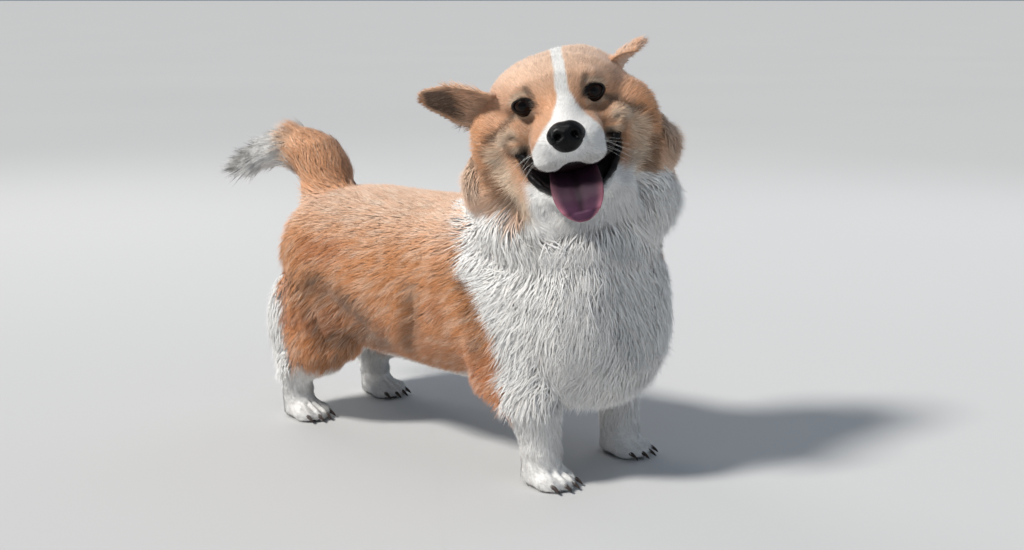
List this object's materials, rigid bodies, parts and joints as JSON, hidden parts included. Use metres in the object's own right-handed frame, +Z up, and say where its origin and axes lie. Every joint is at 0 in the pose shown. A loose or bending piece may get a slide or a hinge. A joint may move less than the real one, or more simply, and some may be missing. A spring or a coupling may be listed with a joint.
{
  "type": "pembroke welsh corgi",
  "caption": "Life-size still model of a standing fluffy corgi, head turned to its right, mouth open with the tongue out and tail raised.",
  "frame": {"origin": "middle of the bounding box at floor level, under the soles of the paws", "axes": "+Z up, -Y forward along the body to the chest, +X to the dog's left"},
  "size_m": [0.2544, 0.6258, 0.4575],
  "materials": {
    "torso": "soft orange-tan coat, white on the chest",
    "head": "short orange-tan coat with a white blaze",
    "neck": "long ruff, white in front",
    "tail_base": "long orange-tan coat",
    "tail_tip": "long pale coat",
    "lower_jaw": "short white coat",
    "nose": "moist black pebbled skin",
    "tongue": "moist pink",
    "eye": "glossy dark brown",
    "ear": "short orange-tan coat, grey inside",
    "foreleg": "short white coat",
    "forepaw": "short white coat with dark claws",
    "hindleg": "orange-tan coat with white breeches",
    "hindpaw": "short white coat with dark claws"
  },
  "bodies": {
    "root": {"torso": "torso", "head": "head", "neck": "neck", "tail_base": "tail_base", "tail_tip": "tail_tip", "lower_jaw": "lower_jaw", "nose": "nose", "tongue": "tongue", "eye_left": "eye", "eye_right": "eye", "ear_left": "ear", "ear_right": "ear", "foreleg_left": "foreleg", "foreleg_right": "foreleg", "forepaw_left": "forepaw", "forepaw_right": "forepaw", "hindleg_left": "hindleg", "hindleg_right": "hindleg", "hindpaw_left": "hindpaw", "hindpaw_right": "hindpaw"}
  },
  "joints": []
}
